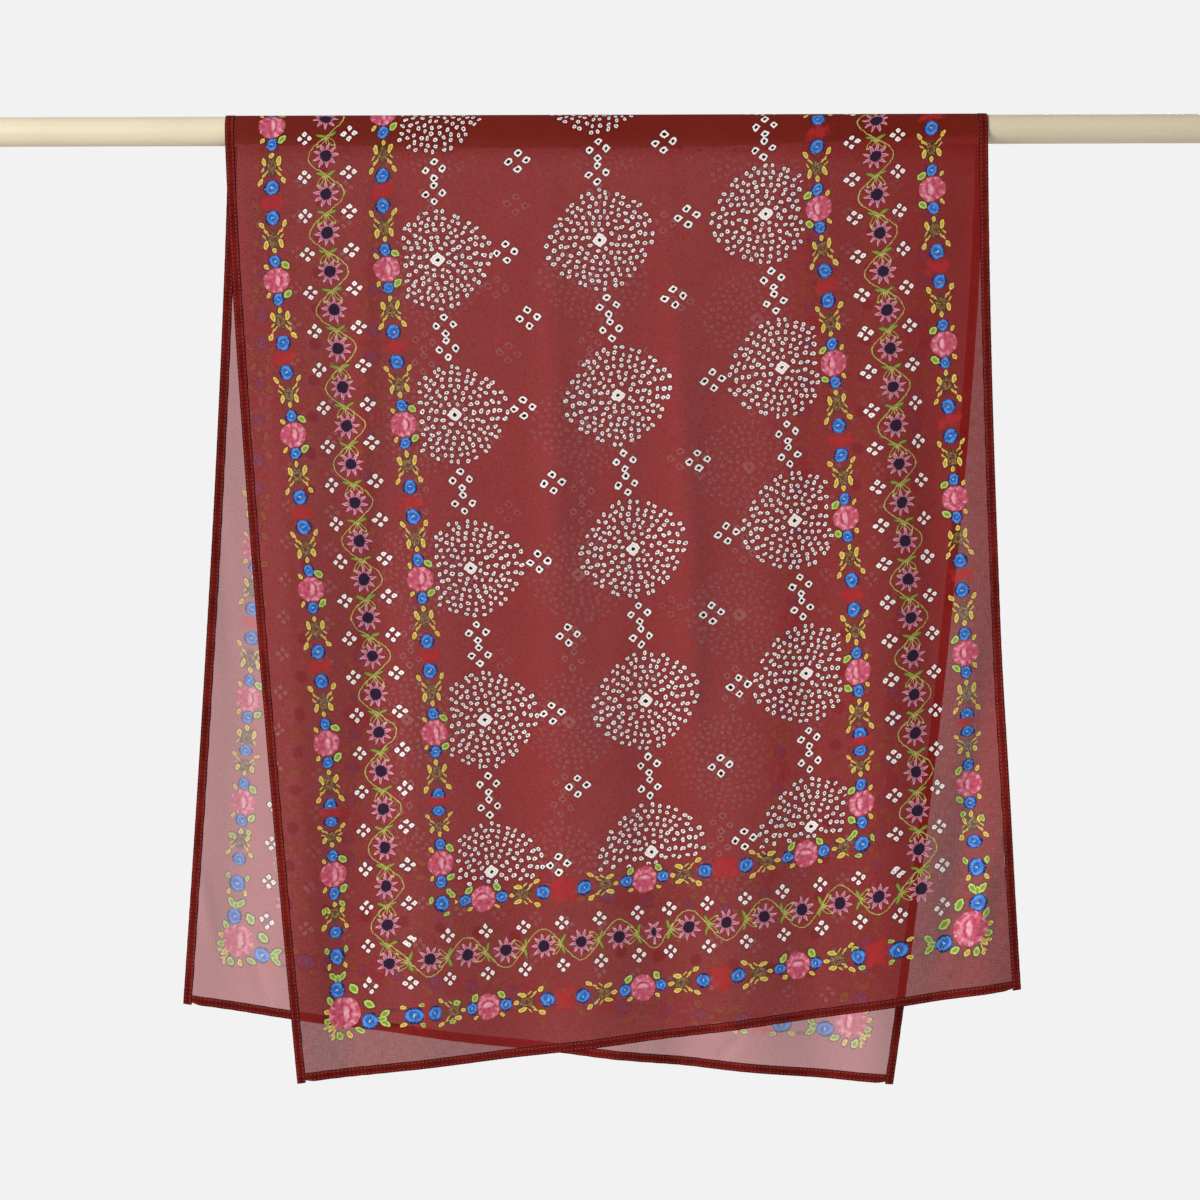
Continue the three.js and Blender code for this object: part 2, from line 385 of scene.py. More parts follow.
def finished_sheet(name, places, plan):
    """The cloth's two skins, each face wearing its region of the print, with the print's right side outwards."""
    piece = sheet_grid(name, places, plan)
    middle = (plan[:-1, :-1] + plan[1:, :-1] + plan[:-1, 1:] + plan[1:, 1:]) / 4
    regions = region_of(middle[..., 0], middle[..., 1]).ravel()
    for side in (RIGHT_SIDE, WRONG_SIDE):
        for region in REGIONS:
            piece.data.materials.append(printed_cloth(side, region))
    piece.data.polygons.foreach_set("material_index", regions.astype(np.int32))
    shell = piece.modifiers.new("skins", "SOLIDIFY")
    shell.thickness = CLOTH_THICKNESS * MM
    shell.offset = 0
    shell.material_offset = len(REGIONS)
    apply_modifiers(piece)
    bpy.ops.object.shade_smooth_by_angle(angle=math.radians(CLOTH_CREASE_ANGLE))
    return piece


# Hems: the cloth turned twice and stitched down, so a strip of several layers

HEM_THICKNESS = 0.95
HEM_STEP = 3.2
HEM_ROD_ROWS = 17
HEM_ACROSS = np.array([0, 0.9, 3.2, 5.8, 7.9, HEM_WIDTH + 0.3])
HEM_PAST_END = 0.8
HEM_UNDER_CORNER = 0.4  # an end hem starts this far inside a side hem's inner edge


def side_hem_places(edge, inward):
    """A side hem's grid of places and its plan. edge is the scarf's edge, and inward is 1 or -1."""
    across = edge + inward * HEM_ACROSS
    front_length = float(FRONT.length(edge))
    back_length = float(BACK.length(edge))
    front_rise = evenly([-HEM_PAST_END, front_length], HEM_STEP)
    back_rise = evenly([-HEM_PAST_END, back_length], HEM_STEP)[::-1]
    turn = np.linspace(0, 1, HEM_ROD_ROWS)[1:-1]
    stretches = [
        (FRONT.place, front_rise, front_rise),
        (rod_place, turn, front_length + ROD_ARC * turn),
        (BACK.place, back_rise, front_length + ROD_ARC + back_length - back_rise),
    ]
    places, plan = [], []
    for place, rows, distance in stretches:
        distance = distance[:, None]
        ragged = 0.18 * np.sin(distance / 5 + across * 2) * (HEM_ACROSS > HEM_WIDTH)
        places.append(place(across + ragged + 0.12 * ripple(distance), rows[:, None] + 0 * across))
        plan.append(np.stack(np.broadcast_arrays(HEM_ACROSS, distance), -1))
    return [np.concatenate(grid)[:, ::inward] for grid in (places, plan)]


def end_hem_places(fall):
    """The same for the hem along a fall's bottom edge, between the side hems."""
    from_edge = HEM_WIDTH - HEM_UNDER_CORNER
    across = evenly([from_edge, CUT_WIDTH - from_edge], HEM_STEP)
    spread = HEM_ACROSS[:, None] + 0 * across
    rise = spread + 0.14 * ripple(across * 0.8 + 20)
    corner = np.minimum(across - across[0], across[-1] - across)
    rise[:2] += 1.5 * (1 - eased(corner / 9))
    if fall is BACK:
        rise, spread = rise[::-1], spread[::-1]
    across = np.broadcast_to(across, rise.shape)
    return fall.place(across, rise), np.stack([spread, across], -1)


def hem_strip(name, places, plan):
    """Gives a hem its layers' thickness and soft edges."""
    piece = sheet_grid(name, places, plan)
    wall = piece.modifiers.new("layers", "SOLIDIFY")
    wall.thickness = HEM_THICKNESS * MM
    wall.offset = 0
    soft = piece.modifiers.new("soft edges", "SUBSURF")
    soft.levels = soft.render_levels = 1
    apply_modifiers(piece)
    bpy.ops.object.shade_smooth()
    piece.data.materials.append(hem_finish())
    return piece


# Colours, as sRGB values

COLOURS = {
    "white": (244, 234, 230),
    "pinhole": (14, 2, 8),
    "rose deep": (160, 50, 72),
    "rose": (196, 90, 110),
    "rose pale": (234, 176, 188),
    "navy": (24, 32, 78),
    "blue deep": (36, 72, 144),
    "blue": (58, 116, 198),
    "blue light": (102.5, 152.4, 213.9),
    "blue pale": (150, 200, 240),
    "gold": (186, 158, 54),
    "gold pale": (234, 208, 112),
    "green": (124, 154, 58),
    "green pale": (190, 208, 112),
    "olive": (72, 46, 22),
    "vine": (214, 180, 116),
    "vine green": (146, 166, 66),
    "blotch": (184, 44, 48),
    "star": (182, 104, 128),
    "star pale": (232, 184, 200),
    "star heart": (46, 30, 50),
    "shade": (50, 9, 14),
}


def linear(colour):
    """An sRGB colour of 0 to 255 as the linear one that shaders take."""
    shares = [c / 255 for c in colour]
    return tuple(s / 12.92 if s <= 0.04045 else ((s + 0.055) / 1.055) ** 2.4 for s in shares)


def between(first, last, share):
    return tuple(blend(a, b, share) for a, b in zip(first, last))


class Side(namedtuple("Side", "name field border cover print_cover faded")):
    """One side of the cloth: its ground, how dense it is, and how far the print has struck through to it."""

    def dye(self, name):
        return between(linear(COLOURS[name]), FADED_DYE, self.faded)


FADED_DYE = (0.86, 0.74, 0.76)
RIGHT_SIDE = Side("right", (0.242, 0.002, 0.001), (0.22, 0.003, 0.001), 0.79, 0.94, 0)
WRONG_SIDE = Side("wrong", (0.84, 0.37, 0.40), (0.83, 0.37, 0.39), 0.35, 0.93, 0.2)


# Shaders

TURN = 2 * math.pi
LEAF_MIDDLE = 0.4


def overloads(operation, reflected=False):
    """A method that adds a Math node for an operator."""

    def method(self, *others):
        values = (*others, self) if reflected else (self, *others)
        return self.finish.maths(operation, *values)

    return method


class Number:
    """A number, colour or vector that varies over a surface. Arithmetic on numbers adds Math nodes."""

    def __init__(self, finish, socket):
        self.finish = finish
        self.socket = socket

    __add__ = __radd__ = overloads("ADD")
    __mul__ = __rmul__ = overloads("MULTIPLY")
    __sub__ = overloads("SUBTRACT")
    __rsub__ = overloads("SUBTRACT", reflected=True)
    __truediv__ = overloads("DIVIDE")
    __rtruediv__ = overloads("DIVIDE", reflected=True)
    __lt__ = overloads("LESS_THAN")
    __gt__ = overloads("GREATER_THAN")
    __abs__ = overloads("ABSOLUTE")

    def maths(self, operation, *others, clamp=False):
        return self.finish.maths(operation, self, *others, clamp=clamp)

    def least(self, *others):
        return reduce(lambda found, other: found.maths("MINIMUM", other), others, self)

    def most(self, *others):
        return reduce(lambda found, other: found.maths("MAXIMUM", other), others, self)

    def stretched(self, factor, start):
        """This times a factor from a start, kept between 0 and 1."""
        return self.maths("MULTIPLY_ADD", factor, start, clamp=True)

    def within(self, edge, soft):
        """1 where this is under the edge and 0 over it, with a soft step between."""
        if isinstance(edge, Number):
            return (edge - self).stretched(1 / soft, 0.5)
        return self.stretched(-1 / soft, edge / soft + 0.5)


class Finish:
    """A material while it is being made."""

    def __init__(self, name):
        self.material = bpy.data.materials.new(name)
        self.material.use_nodes = True
        self.tree = self.material.node_tree
        self.shader = self.tree.nodes["Principled BSDF"]

    def node(self, kind, settings=None, inputs=None, output=0):
        """A node of this type with its settings made and its sockets fed, as the number that one output gives."""
        made = self.tree.nodes.new("ShaderNode" + kind)
        settings = dict(settings or {})
        for number, (place, colour) in enumerate(settings.pop("stops", [])):
            elements = made.color_ramp.elements
            stop = elements[number] if number < 2 else elements.new(place)
            stop.position = place
            stop.color = (*colour, 1)
        for name, value in settings.items():
            setattr(made, name, value)
        for name, value in (inputs or {}).items():
            self.feed(made.inputs[name], value)
        return Number(self, made.outputs[output])

    def feed(self, socket, value):
        if isinstance(value, Number):
            self.tree.links.new(value.socket, socket)
        elif socket.type == "RGBA":
            socket.default_value = (*value, 1)
        else:
            socket.default_value = value

    def shade(self, **inputs):
        """Feeds the shader's own sockets, named with underscores for their spaces."""
        for name, value in inputs.items():
            self.feed(self.shader.inputs[name.replace("_", " ")], value)

    def maths(self, operation, *values, clamp=False):
        settings = {"operation": operation, "use_clamp": clamp}
        return self.node("Math", settings, dict(enumerate(values)))

    def vectors(self, operation, *values, output=0):
        return self.node("VectorMath", {"operation": operation}, dict(enumerate(values)), output)

    def point(self, x, y, z=0):
        return self.node("CombineXYZ", inputs={0: x, 1: y, 2: z})

    def length(self, x, y):
        return self.vectors("LENGTH", self.point(x, y), output=1)

    def angle(self, x, y):
        return self.maths("ARCTAN2", y, x)

    def mix(self, mask, below, above):
        """The colour below, covered by the one above as far as the mask says."""
        return self.node("Mix", {"data_type": "RGBA"}, {0: mask, 6: below, 7: above}, 2)

    def choose(self, mask, when_off, when_on):
        """One number or the other."""
        return self.node("Mix", {}, {0: mask, 2: when_off, 3: when_on})

    def noise(self, place, scale, detail=1, dimensions="2D", output=0):
        inputs = {"Vector": place, "Scale": scale, "Detail": detail}
        return self.node("TexNoise", {"noise_dimensions": dimensions}, inputs, output)

    def part(self, vector, axis):
        return self.node("SeparateXYZ", inputs={0: vector}, output=axis)

    def plan(self):
        """The place on the cut, in millimetres."""
        cut = self.node("UVMap", {"uv_map": CUT_MAP})
        return self.vectors("MULTIPLY", cut, (1 / MM, 1 / MM, 0))

    def relief(self, height, strength, distance=0.4):
        inputs = {"Strength": strength, "Distance": distance * MM, "Height": height}
        return self.node("Bump", {}, inputs)

    def framed(self, place, x, y, reach_x, reach_y, turn):
        """A place as a share of the reach from a motif's middle. turn is in degrees."""
        inputs = {
            "Vector": place,
            "Location": (x, y, 0),
            "Rotation": (0, 0, math.radians(turn)),
            "Scale": (reach_x, reach_y, 1),
        }
        return self.node("Mapping", {"vector_type": "TEXTURE"}, inputs)

    def petal(self, place, x, y, reach_x, reach_y, turn=0):
        """How far a place is from an oval's middle, as a share of the way to its edge."""
        return self.vectors("LENGTH", self.framed(place, x, y, reach_x, reach_y, turn), output=1)

    def leaf(self, place, x, y, half_width, half_length, turn=0):
        """How far a place is out of a pointed leaf: LEAF_MIDDLE at its middle and 1 at its edge."""
        reach_x = half_width / (1 - LEAF_MIDDLE)
        reach_y = half_length / math.sqrt(1 - LEAF_MIDDLE**2)
        folded = self.vectors("ABSOLUTE", self.framed(place, x, y, reach_x, reach_y, turn))
        return self.vectors("DISTANCE", folded, (-LEAF_MIDDLE, 0, 0), output=1)

    def nearest_leaf(self, *leaves):
        first, *others = [self.leaf(*leaf) for leaf in leaves]
        return first.least(*others)


# Where the field's dots and the stars lie in the print

ROUNDEL_PITCH_ACROSS = 159.5
ROUNDEL_PITCH_UP = 147.2
ROUNDEL_LEFT = 203
ROUNDEL_LOW = 175
ROUNDEL_FLAT = 0.06  # how much a roundel is flattened from above and stretched to the sides
ROUNDEL_LEAN = 0.14
ROUNDEL_SQUARE = 0.045
ROUNDEL_DRAWN_IN = 1.062
RING_FIRST = 11.4
RING_STEP = 6.35
LAST_RING = 6
FIRST_RING_DOTS = 8
MORE_EACH_RING = 5
FEWER_IN_LAST_RING = 6
RING_SHIFT = 0.29
LAST_RING_PAIRED = 2.4
DOT_SIZE, DOT_HOLE = 1.85, 0.75
DOT_SCATTER = 2.2
OUTER_COLUMNS_FROM = 56
BACK_DRAWN = 0.036  # how much closer together the back half's roundels lie near its hem
BACK_COLUMNS_OFF = -20  # on the back half, the outer columns sit this much off the middle one
DIAMOND_BESIDE = 92.5  # from the cloth's middle line to the diamonds beside the roundels
DIAMOND_BETWEEN = 71  # and to those between the rows of roundels
DIAMOND_REACH = 8.1
DIAMONDS_SHIFTED_FROM = 480  # past here the print's diamonds lie this much higher and farther left
DIAMONDS_HIGHER = 10
DIAMONDS_LEFT = 7
HOURGLASS_UP = 11.2
STAR_PITCH_SIDE = 36.95
STAR_PITCH_BOTTOM = 37.79
STAR_RAYS = 9
STAR_HEART = 5.1
STAR_BODY = 5.9
RAY_REACH = 5.4
STAR_DOTS_OUT = 20.5  # from the stars' line to the middle of the dots beside it
VINE_REACH = 16.6
FINE_WAVER = 1.5
BROAD_WAVER = 2.4


class PrintPlace:
    """Where a point of the cloth lies in the print, in millimetres, with the waver of hand drawing."""

    def __init__(self, finish):
        self.cut = moved = finish.plan()
        for scale, reach in ((0.09, BROAD_WAVER), (0.38, FINE_WAVER)):
            waver = finish.noise(self.cut, scale, output=1)
            moved = finish.vectors("MULTIPLY_ADD", waver, (reach, reach, 0), moved)
        wavered = (BROAD_WAVER + FINE_WAVER) / 2
        self.p = finish.part(moved, 0) - wavered
        self.v = finish.part(moved, 1) - wavered
        across = self.p.maths("PINGPONG", HALF_WIDTH)
        span = SIDE_EXTRA_TO - SIDE_EXTRA_FROM
        self.across = across - across.stretched(1 / span, -SIDE_EXTRA_FROM / span) * SIDE_EXTRA
        self.on_back = self.v > HALF_LENGTH + PRINT_PAST
        self.up = finish.choose(self.on_back, self.v, 2 * HALF_LENGTH - self.v) - BOTTOM_EXTRA
        self.deep = self.across.least(self.up)
        self.along = self.across.most(self.up)
        self.on_side = self.across < self.up
        outer_columns = abs(self.p - HALF_WIDTH) > OUTER_COLUMNS_FROM
        nearer_hem = (self.up * self.up).maths("MULTIPLY_ADD", -BACK_DRAWN / HALF_LENGTH**2, BACK_DRAWN)
        moved = self.up * nearer_hem - outer_columns * BACK_COLUMNS_OFF
        self.from_roundel_up = self.up + moved * self.on_back - ROUNDEL_LOW


class PrintedVoile(Finish):
    """One side of the cloth in a region of the print, whose colours are laid over one another."""

    def __init__(self, side, region):
        super().__init__(f"voile_{side.name}_{region}")
        self.side = side
        self.place = PrintPlace(self)
        self.colour = side.field if region == "field" else side.border

    def grain(self, scale, detail=1):
        return self.noise(self.place.cut, scale, detail)

    def lay(self, cover, colour):
        """Lays a colour, or the dye of that name, over what is there and gives back its cover."""
        above = self.side.dye(colour) if isinstance(colour, str) else colour
        self.colour = self.mix(cover, self.colour, above)
        return cover

    def shaded(self, mask, first, last):
        """A colour that goes from one dye to another."""
        return self.mix(mask, self.side.dye(first), self.side.dye(last))

    def ramp(self, value, *stops):
        """A colour that passes through dyes at these values."""
        stops = [(place, self.side.dye(name)) for place, name in stops]
        return self.node("ValToRGB", {"stops": stops}, {0: value})

    def lay_dots(self, white, hole, outline):
        """Tie-dyed dots: a dark edge, a white body and a pinhole in its middle."""
        self.lay(outline, "shade")
        self.lay(white, "white")
        self.lay(hole, "pinhole")
        return white

    def lay_leaves(self, leaves, name):
        """Leaves, each with a dark line round it and a pale edge."""
        self.lay(leaves.within(1.24, 0.2) * 0.75, "shade")
        cover = self.lay(leaves.within(1, 0.12), name + " pale")
        self.lay(leaves.within(0.76, 0.16), name)
        return cover

    def lay_blotch(self, x, y, lobes, where):
        """A ragged red blotch, from its normalised place."""
        ragged = (self.grain(0.14, 2) - 0.5) * 1.7
        blotch = (self.length(x, y) + ragged + lobes).within(1, 0.5) * where
        self.lay(blotch * 0.62, "blotch")
        return blotch

    def lay_rosette(self, x, y, soft):
        """A blue rosette, from its normalised place: a speckled heart, curls of light blue and a dark rim."""
        far = self.length(x, y)
        noise = self.grain(0.75)
        curl = (self.angle(x, y) * 2 + far * 5 + noise * 7).maths("SINE")
        ring = far + curl * 0.1 + (noise - 0.5) * 0.5
        inner = [(0.08, "blue pale"), (0.18, "navy"), (0.3, "blue"), (0.4, "blue deep")]
        outer = [(0.52, "blue"), (0.66, "blue light"), (0.78, "blue"), (0.9, "navy")]
        return self.lay(far.within(1, soft), self.ramp(ring, *inner, *outer))

    def lay_rose(self, x, y, soft):
        """A cabbage rose, from its normalised place, whose x runs towards the field: a pale bud beside a deep
        crease, a crescent of petals past it, and streaks round the rim."""
        far = self.length(x, y)
        noise = self.grain(0.28, 2)
        bud = self.length((x - 0.14) * 5, y * 2).within(1, 0.7)
        crease = abs(self.length(x + 0.5, y) - 0.86).within(0.06, 0.12) * abs(y).within(0.62, 0.3)
        petal = abs(self.length(x + 0.2, y) - 0.8).within(0.14, 0.2) * (x > 0)
        streaks = (self.angle(x, y) * 9 + noise * 6).maths("SINE").stretched(1.4, -0.4)
        rim = far.stretched(4, -2.3)
        light = (noise - 0.5) * 0.7 + bud * 0.5 + petal * 0.26 - crease * 0.4 + streaks * rim * 0.42 + 0.3
        colour = self.ramp(light, (0.06, "rose deep"), (0.4, "rose"), (1, "rose pale"))
        return self.lay(far.within(1, soft), colour)


def weave(finish, cut):
    """The thickness of uneven threads that run along the cloth and across it."""
    warp = finish.noise(finish.vectors("MULTIPLY", cut, (1, 0.12, 0)), 1)
    weft = finish.noise(finish.vectors("MULTIPLY", cut, (0.12, 1, 0)), 1)
    return (warp + weft) * 0.5


def drawn_dots(distance, size, hole):
    """A white dot's cover, its pinhole and the dark dye round it, from the distance to its middle."""
    return (
        distance.within(size, 0.3),
        distance.within(hole, 0.35),
        distance.within(size + 0.6, 0.4) * 0.66 + distance.within(size + 1.6, 2.6) * 0.3,
    )


def lozenge(x, y):
    """The distance from a diamond's middle, the same all along its slightly rounded outline."""
    x, y = abs(x), abs(y)
    return (x + y) * 0.75 + x.most(y) * 0.25


def four_dots(x, y, reach):
    """The distance to the nearest of four places at the same reach left, right, up and down."""
    x, y = abs(x), abs(y)
    return lozenge(x.most(y) - reach, x.least(y))


def roundel_dots(cloth, x, y):
    """The rings of a roundel's dots, a few more in each ring, set a little unevenly."""
    place = cloth.place
    angle = cloth.angle(y, x)
    leaned = angle + ROUNDEL_LEAN
    flatter = (leaned * 2).maths("COSINE") * ROUNDEL_FLAT + ROUNDEL_DRAWN_IN
    stretch = flatter - (leaned * 4).maths("COSINE") * ROUNDEL_SQUARE
    far = cloth.length(x, y) * stretch
    ring = ((far - RING_FIRST) / RING_STEP).maths("ROUND").least(LAST_RING).most(0)
    radius = ring * RING_STEP + RING_FIRST
    outermost = ring > LAST_RING - 0.5
    count = ring * MORE_EACH_RING + FIRST_RING_DOTS - outermost * FEWER_IN_LAST_RING
    shift = ring * ring * RING_SHIFT
    turns = angle * count / TURN + shift
    whole = turns.maths("FLOOR")

    column = ((place.p - ROUNDEL_LEFT) / ROUNDEL_PITCH_ACROSS).maths("ROUND")
    row = (place.from_roundel_up / ROUNDEL_PITCH_UP).maths("ROUND")
    number = whole.maths("FLOORED_MODULO", count)
    seed = cloth.point(ring * 9 + column, number, row)
    chance = cloth.node("TexWhiteNoise", {}, {"Vector": seed}, 1)
    out = far - radius + (cloth.part(chance, 0) - 0.5) * DOT_SCATTER
    paired = (number.maths("FLOORED_MODULO", 2) - 0.5) * outermost * LAST_RING_PAIRED
    beside = (turns - whole - 0.5) * radius / count * TURN + paired
    beside = beside + (cloth.part(chance, 1) - 0.5) * DOT_SCATTER
    shape = cloth.part(chance, 2) * 0.4
    distance = cloth.length(out * (shape + 0.75), beside * (1.15 - shape))

    middle = (whole + 0.5 - shift) * TURN / count
    reach = radius / stretch
    middle_across = (place.p - x + middle.maths("SINE") * reach).maths("PINGPONG", HALF_WIDTH)
    middle_up = place.up - y + middle.maths("COSINE") * reach
    kept = middle_across.least(middle_up + SIDE_EXTRA) > FIELD_START + SIDE_EXTRA + 1.5
    return [layer * kept for layer in drawn_dots(distance, DOT_SIZE, DOT_HOLE)]


def field_print(cloth):
    """Roundels of tied dots in straight columns, with small diamonds and hourglasses of dots between them."""
    place = cloth.place
    half_across = ROUNDEL_PITCH_ACROSS / 2
    half_up = ROUNDEL_PITCH_UP / 2
    x = (place.p - ROUNDEL_LEFT).maths("WRAP", half_across, -half_across)
    y = place.from_roundel_up.maths("WRAP", half_up, -half_up)
    heart = lozenge(x, y * 1.1)
    line = abs(heart - 4.8).within(0.25, 0.3) * 0.45
    white, hole, outline = drawn_dots(heart, 7.3, 2.2)

    between_rows = abs(y) > half_up / 2
    shifted = (place.from_roundel_up > DIAMONDS_SHIFTED_FROM) * between_rows.most(place.p > HALF_WIDTH)
    from_middle = cloth.choose(between_rows, DIAMOND_BESIDE, DIAMOND_BETWEEN)
    diamond_x = abs(place.p + shifted * DIAMONDS_LEFT - HALF_WIDTH) - from_middle
    diamond_y = (place.from_roundel_up - shifted * DIAMONDS_HIGHER).maths("PINGPONG", half_up / 2)
    glass_y = half_up - abs(y) - HOURGLASS_UP
    layers = [
        roundel_dots(cloth, x, y),
        (white, hole.most(line), outline),
        drawn_dots(four_dots(diamond_x * 0.93, diamond_y * 1.07, DIAMOND_REACH), 4.1, 2),
        drawn_dots(four_dots(x, glass_y * 1.05, DIAMOND_REACH), 4, 1.9),
    ]
    return cloth.lay_dots(*(found[0].most(*found[1:]) for found in zip(*layers)))


def star_print(cloth):
    """Stars in a row, with a vine that winds between them, leaf sprigs where it crosses and dots beside it."""
    place = cloth.place
    t = place.deep - STAR_LINE
    pitch = cloth.choose(place.on_side, STAR_PITCH_BOTTOM, STAR_PITCH_SIDE)
    phase = (place.along - STAR_LINE) / pitch
    number = phase.maths("ROUND")
    to_star = (phase - number) * pitch
    to_gap = (phase.maths("WRAP", 1, 0) - 0.5) * pitch
    wide = abs(t)
    grain = cloth.grain(0.5)

    swing = (phase * math.pi).maths("COSINE")
    vine = abs(t - swing * VINE_REACH) * (swing * swing * 0.42 + 0.58)
    sprig = cloth.point(wide, to_gap)
    blade = cloth.petal(sprig, 5, 1.1, 5.2, 1.4, 20)
    loop = abs(cloth.petal(sprig, 4.8, -5.6, 6.3, 2.1, -52) - 0.85)
    stem = cloth.petal(sprig, 0, -3.5, 0.55, 4.5)
    strokes = vine.within(0.45, 0.4).most(loop.within(0.14, 0.12), stem.within(1, 0.4))
    shadow = vine.within(0.95, 0.7).most(loop.within(0.32, 0.25), blade.within(1.25, 0.5))
    cloth.lay(shadow * 0.5, "shade")
    cloth.lay(strokes, cloth.shaded((grain - 0.3) * 2.4, "vine", "vine green"))
    cloth.lay(blade.within(0.9, 0.35), "green")
    white = cloth.lay_dots(*drawn_dots(four_dots(wide - STAR_DOTS_OUT, to_gap, 4.5), 2.5, 0.6))

    far = cloth.length(t, to_star)
    angle = cloth.angle(t, to_star) + number * 0.9
    ray = abs((angle * (STAR_RAYS / TURN)).maths("WRAP", 1, 0) * 2 - 1).stretched(1.3, -0.3)
    edge = ray * (grain * 2.4 + RAY_REACH) + STAR_BODY
    bright = (edge - far).within(1.2, 1)
    star = cloth.lay(far.within(edge, 0.5), cloth.shaded(bright, "star", "star pale"))
    cloth.lay(far.within(cloth.grain(1.1) * 1.4 + STAR_HEART, 0.5), "star heart")
    return strokes.most(blade.within(1, 0.3), white, star)


# How the roses and rosettes are spaced along the garlands

FIRST_ROSE = 188.5
SECOND_ROSE = 314.4
HALF_WAY_UP = 242  # between the first two roses up a side
ROSES_HALF_PITCH = 74.25
ROSE_BOTTOM_OUTER = 193.8
LAST_BOTTOM_OUTER = 590.5
OUTER_HALF_PITCH = 77.6
ROSE_BOTTOM_INNER = 194
INNER_HALF_PITCH = 80.5
BACK_SKIP_FROM = 245
BACK_SKIP = 25  # the print's length that the back half leaves out after its first rosettes
SHORTER_TO = 252
INNER_CORNER_TO = 163
OUT_OF_SIGHT = 200
ROSE_WIDE, ROSE_LONG = 12.6, 11.8
BESIDE_ROSE = 18.2  # from a rose to the rosette beside it
HALF_WAY_BLOTCH = 76.5
BLOTCHES_FROM = 189
LARGER_ROSETTE_FROM = 38
LARGER_ROSETTE_ON = 41.8  # from the rosette beside a rose to the larger one
ROSETTE_SIZE, LARGER_BY, CORNER_ROSETTE_SIZE = 6.1, 1.3, 7.8
CORNER_ARM_SIDE, CORNER_ARM_BOTTOM = 74, 82  # how long the corner's two arms are
ARM_SHIFT = 4.3
ARM_ROSETTES = 27.2
ARM_ROSETTES_APART = 32
CORNER_ROSE_WIDE, CORNER_ROSE_HIGH = 15.8, 15.2


def garland_places(cloth):
    """Each point's place across the garland, towards the field, and along it from the nearest rose."""
    place = cloth.place
    from_stars = place.deep - STAR_LINE
    inward = from_stars - from_stars.maths("SIGN") * (INNER_LINE - STAR_LINE)
    along = place.along + (place.along > BACK_SKIP_FROM) * place.on_back * BACK_SKIP
    up_first = abs(along - FIRST_ROSE)
    up_rest = (along.most(HALF_WAY_UP) - SECOND_ROSE).maths("PINGPONG", ROSES_HALF_PITCH)
    up = up_first.least(up_rest)
    shorter = cloth.choose(along < FIRST_ROSE, 0.46, 0.2) * (along < SHORTER_TO)
    up = up + (up - 30).most(0) * shorter
    outer = (place.p.least(LAST_BOTTOM_OUTER) - ROSE_BOTTOM_OUTER).maths("PINGPONG", OUTER_HALF_PITCH)
    outer = outer * ((place.p < ROSE_BOTTOM_OUTER) * 0.15 + 1)
    inner = (place.p - ROSE_BOTTOM_INNER).maths("PINGPONG", INNER_HALF_PITCH)
    bottom = cloth.choose(from_stars < 0, inner, outer)
    return inward, cloth.choose(place.on_side, bottom, up)


def garland_print(cloth):
    """Roses with a rosette on either side, sprays of leaves, larger rosettes and a red blotch half way."""
    place = cloth.place
    inward, s = garland_places(cloth)
    wide = abs(inward)
    at_corner = (place.deep > STAR_LINE) * (place.along < INNER_CORNER_TO)
    away = s + at_corner * OUT_OF_SIGHT
    spot = cloth.point(inward, away)
    mirrored = cloth.point(wide, away)
    turned = cloth.point(inward, place.along - INNER_LINE)

    gap = s - HALF_WAY_BLOTCH
    lobes = (cloth.angle(wide, gap) * 5).maths("COSINE") * 0.12
    where = (place.along > BLOTCHES_FROM).most(1 - place.on_side) * (1 - at_corner)
    blotch = cloth.lay_blotch(wide / 11.5, gap / 8, lobes, where)
    tangle = cloth.petal(mirrored, 0, 38.6, 6.6, 8)
    cloth.lay(tangle.within(1.2, 0.6) * 0.8, "olive")
    marks = abs(tangle + cloth.grain(0.6) * 1.6 - 1.3).within(0.07, 0.08)
    cloth.lay(marks * 0.5, "gold pale")
    gold = cloth.nearest_leaf(
        (spot, -9, 13.6, 1.7, 3, 30),
        (mirrored, 0, 28.4, 2, 2.8),
        (mirrored, 7, 34.6, 2.1, 4.7, 14),
        (mirrored, 8.4, 42, 0.7, 2.8, -40),
        (mirrored, 5.6, 45.6, 0.7, 3, -35),
        (mirrored, 8.2, 47.6, 0.8, 2.3, -20),
        (mirrored, 11.2, 53.6, 2, 3.7, -32),
    )
    green = cloth.nearest_leaf(
        (spot, 9.6, 14, 3, 4.6, 50),
        (turned, -10.3, 4.5, 2, 3.6, -15),
        (turned, 7.5, 10.5, 2.6, 3.6, 30),
    )
    leaves = cloth.lay_leaves(gold, "gold").most(cloth.lay_leaves(green, "green"))

    larger = s > LARGER_ROSETTE_FROM
    size = cloth.choose(at_corner, larger * LARGER_BY + ROSETTE_SIZE, CORNER_ROSETTE_SIZE)
    from_rosette = s - larger * LARGER_ROSETTE_ON - BESIDE_ROSE
    beside = cloth.choose(at_corner, from_rosette, place.along - INNER_LINE)
    rosette = cloth.lay_rosette(inward / size, beside / size, 0.06)
    rose = cloth.lay_rose(inward / ROSE_WIDE, s / ROSE_LONG, 0.05)
    return leaves.most(rosette, rose, blotch * 0.5)


